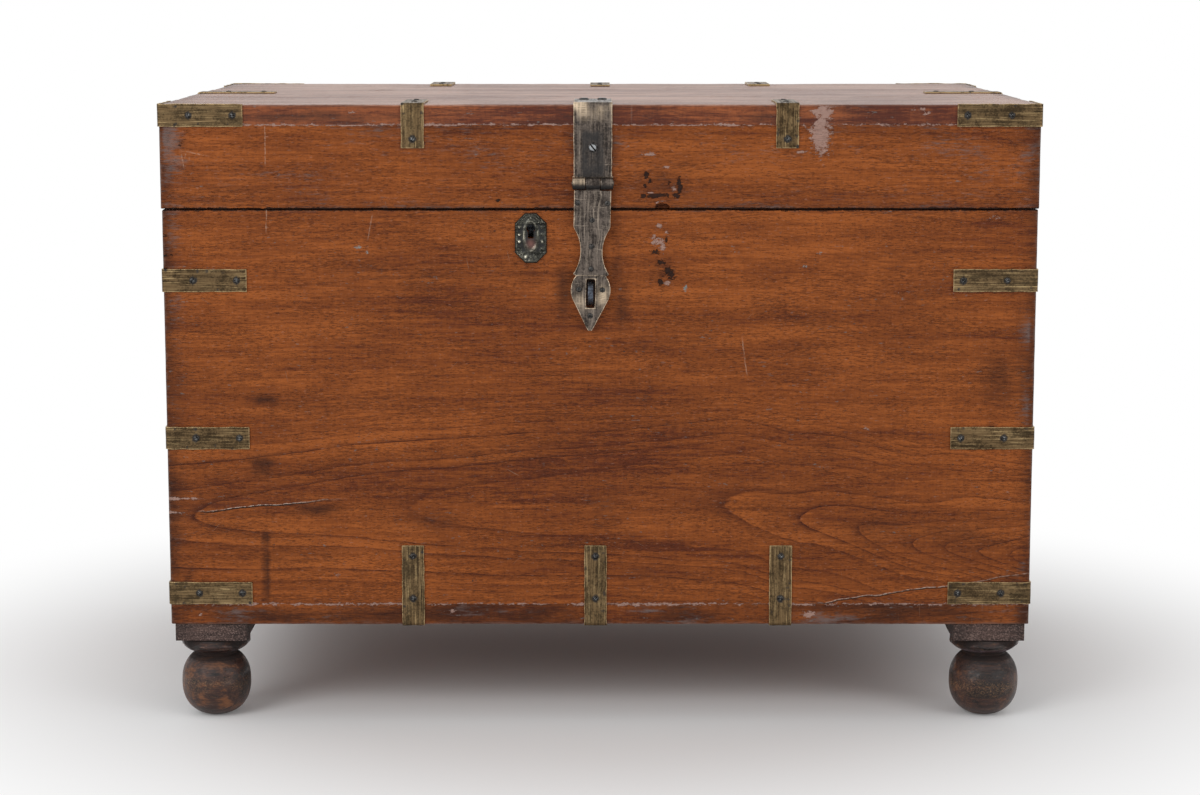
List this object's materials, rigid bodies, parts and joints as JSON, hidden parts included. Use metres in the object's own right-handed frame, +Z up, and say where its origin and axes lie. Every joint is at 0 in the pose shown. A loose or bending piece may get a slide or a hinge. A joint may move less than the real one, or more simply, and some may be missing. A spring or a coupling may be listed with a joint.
{
  "type": "chest",
  "caption": "Brass-bound plank chest on turned ball feet, with a hinged lid, swinging hasp and staple, box lock with cast escutcheon, and side bail handles.",
  "frame": {"origin": "on the floor under the middle of the chest", "axes": "+X to the chest's left-to-right as seen from the front, +Y to the back, +Z up"},
  "size_m": [0.987, 0.6573, 0.688],
  "materials": {
    "oiled_teak": "worn oil and wax",
    "turned_hardwood": "dark polish",
    "rough_block_wood": "rough, dusty",
    "aged_brass": "dull, patinated",
    "antique_bronze": "rubbed, dark",
    "cast_bronze": "tarnished casting",
    "dark_iron": "dark, oiled"
  },
  "bodies": {
    "carcass": {"back_board": "oiled_teak", "ball_foot_front_left": "turned_hardwood", "ball_foot_front_right": "turned_hardwood", "ball_foot_rear_left": "turned_hardwood", "ball_foot_rear_right": "turned_hardwood", "base_straps_front": "aged_brass", "base_straps_rear": "aged_brass", "body_screws": "dark_iron", "bottom_board_front": "oiled_teak", "bottom_board_middle": "oiled_teak", "bottom_board_rear": "oiled_teak", "corner_straps_front_left": "aged_brass", "corner_straps_front_right": "aged_brass", "corner_straps_rear_left": "aged_brass", "corner_straps_rear_right": "aged_brass", "escutcheon": "cast_bronze", "escutcheon_pins": "cast_bronze", "foot_block_front_left": "rough_block_wood", "foot_block_front_right": "rough_block_wood", "foot_block_rear_left": "rough_block_wood", "foot_block_rear_right": "rough_block_wood", "front_board": "oiled_teak", "handle_plate_left": "aged_brass", "handle_plate_right": "aged_brass", "hinge_left_body_leaf": "aged_brass", "hinge_pins": "aged_brass", "hinge_right_body_leaf": "aged_brass", "left_side_board": "oiled_teak", "lock_case": "dark_iron", "right_side_board": "oiled_teak", "staple": "antique_bronze"},
    "lid": {"hasp_pin": "antique_bronze", "hasp_plate": "antique_bronze", "hasp_screws": "dark_iron", "hinge_left_lid_leaf": "aged_brass", "hinge_right_lid_leaf": "aged_brass", "lid_back_rail": "oiled_teak", "lid_board_front": "oiled_teak", "lid_board_middle": "oiled_teak", "lid_board_rear": "oiled_teak", "lid_corner_strap_front_left": "aged_brass", "lid_corner_strap_front_right": "aged_brass", "lid_corner_strap_rear_left": "aged_brass", "lid_corner_strap_rear_right": "aged_brass", "lid_front_rail": "oiled_teak", "lid_front_strap_left": "aged_brass", "lid_front_strap_right": "aged_brass", "lid_left_rail": "oiled_teak", "lid_rear_strap": "aged_brass", "lid_right_rail": "oiled_teak", "lid_screws": "dark_iron", "lid_side_strap_left": "aged_brass", "lid_side_strap_right": "aged_brass", "lock_keeper": "dark_iron"},
    "hasp": {"hasp_leaf": "antique_bronze", "hasp_rivets": "dark_iron"},
    "lock_bolt": {"lock_bolt": "dark_iron"},
    "handle_left": {"handle_left": "aged_brass"},
    "handle_right": {"handle_right": "aged_brass"}
  },
  "joints": [
    {"name": "lid_hinge", "type": "hinge", "parent": "carcass", "child": "lid", "pos_m": [0, 0.3198, 0.5704], "axis": [-1, 0, 0], "range_deg": [0, 105]},
    {"name": "hasp_swing", "type": "hinge", "parent": "lid", "child": "hasp", "pos_m": [-0.0077, -0.321, 0.5988], "axis": [-1, 0, 0], "range_deg": [0, 170]},
    {"name": "bolt_slide", "type": "slide", "parent": "carcass", "child": "lock_bolt", "axis": [-1, 0, 0], "range_m": [0, 0.008]},
    {"name": "handle_left_swing", "type": "hinge", "parent": "carcass", "child": "handle_left", "pos_m": [-0.4855, 0, 0.401], "axis": [0, 1, 0], "range_deg": [0, 95]},
    {"name": "handle_right_swing", "type": "hinge", "parent": "carcass", "child": "handle_right", "pos_m": [0.4855, 0, 0.401], "axis": [0, -1, 0], "range_deg": [0, 95]}
  ]
}
